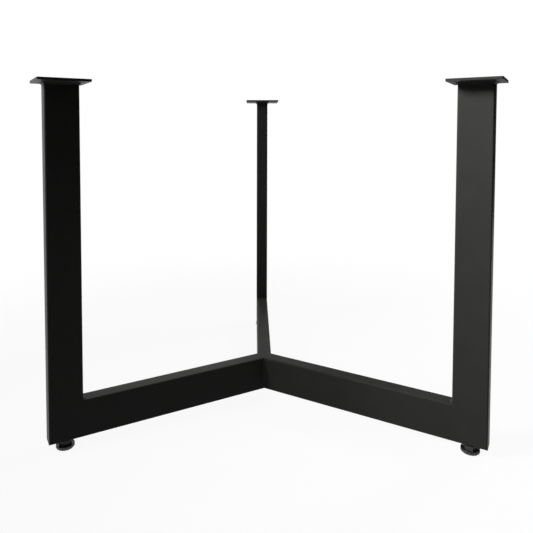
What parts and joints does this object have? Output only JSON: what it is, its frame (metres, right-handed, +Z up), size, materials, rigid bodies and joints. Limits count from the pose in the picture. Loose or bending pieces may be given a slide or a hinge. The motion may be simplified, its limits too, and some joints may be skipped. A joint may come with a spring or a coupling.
{
  "type": "coffee table base",
  "caption": "Welded rectangular-tube base for a round table top: upright legs on floor rails that join in a Y, with screw plates above and levelling feet below.",
  "frame": {"origin": "on the upright axis where the floor rails meet, at floor level", "axes": "+Z up along the axis of the Y joint, +Y towards the rear leg, +X to the right seen from the front"},
  "size_m": [0.5658, 0.4904, 0.44],
  "materials": {
    "powder_coat": "fine-textured satin black powder coat",
    "black_steel": "black zinc plated",
    "glide_plastic": "moulded black plastic"
  },
  "bodies": {
    "frame": {"leg_tube_front_left": "powder_coat", "floor_rail_front_left": "powder_coat", "top_plate_front_left": "powder_coat", "plate_weld_front_left": "powder_coat", "corner_weld_front_left": "powder_coat", "rivet_nut_front_left": "black_steel", "leg_tube_front_right": "powder_coat", "floor_rail_front_right": "powder_coat", "top_plate_front_right": "powder_coat", "plate_weld_front_right": "powder_coat", "corner_weld_front_right": "powder_coat", "rivet_nut_front_right": "black_steel", "leg_tube_rear": "powder_coat", "floor_rail_rear": "powder_coat", "top_plate_rear": "powder_coat", "plate_weld_rear": "powder_coat", "corner_weld_rear": "powder_coat", "rivet_nut_rear": "black_steel", "centre_weld_front": "powder_coat", "centre_weld_right": "powder_coat", "centre_weld_left": "powder_coat"},
    "foot_front_left": {"foot_stud_front_left": "black_steel", "foot_glide_front_left": "glide_plastic"},
    "foot_front_right": {"foot_stud_front_right": "black_steel", "foot_glide_front_right": "glide_plastic"},
    "foot_rear": {"foot_stud_rear": "black_steel", "foot_glide_rear": "glide_plastic"}
  },
  "joints": [
    {"name": "foot_front_left_screw", "type": "slide", "parent": "frame", "child": "foot_front_left", "axis": [0, 0, -1], "range_m": [0, 0.01]},
    {"name": "foot_front_right_screw", "type": "slide", "parent": "frame", "child": "foot_front_right", "axis": [0, 0, -1], "range_m": [0, 0.01]},
    {"name": "foot_rear_screw", "type": "slide", "parent": "frame", "child": "foot_rear", "axis": [0, 0, -1], "range_m": [0, 0.01]}
  ]
}
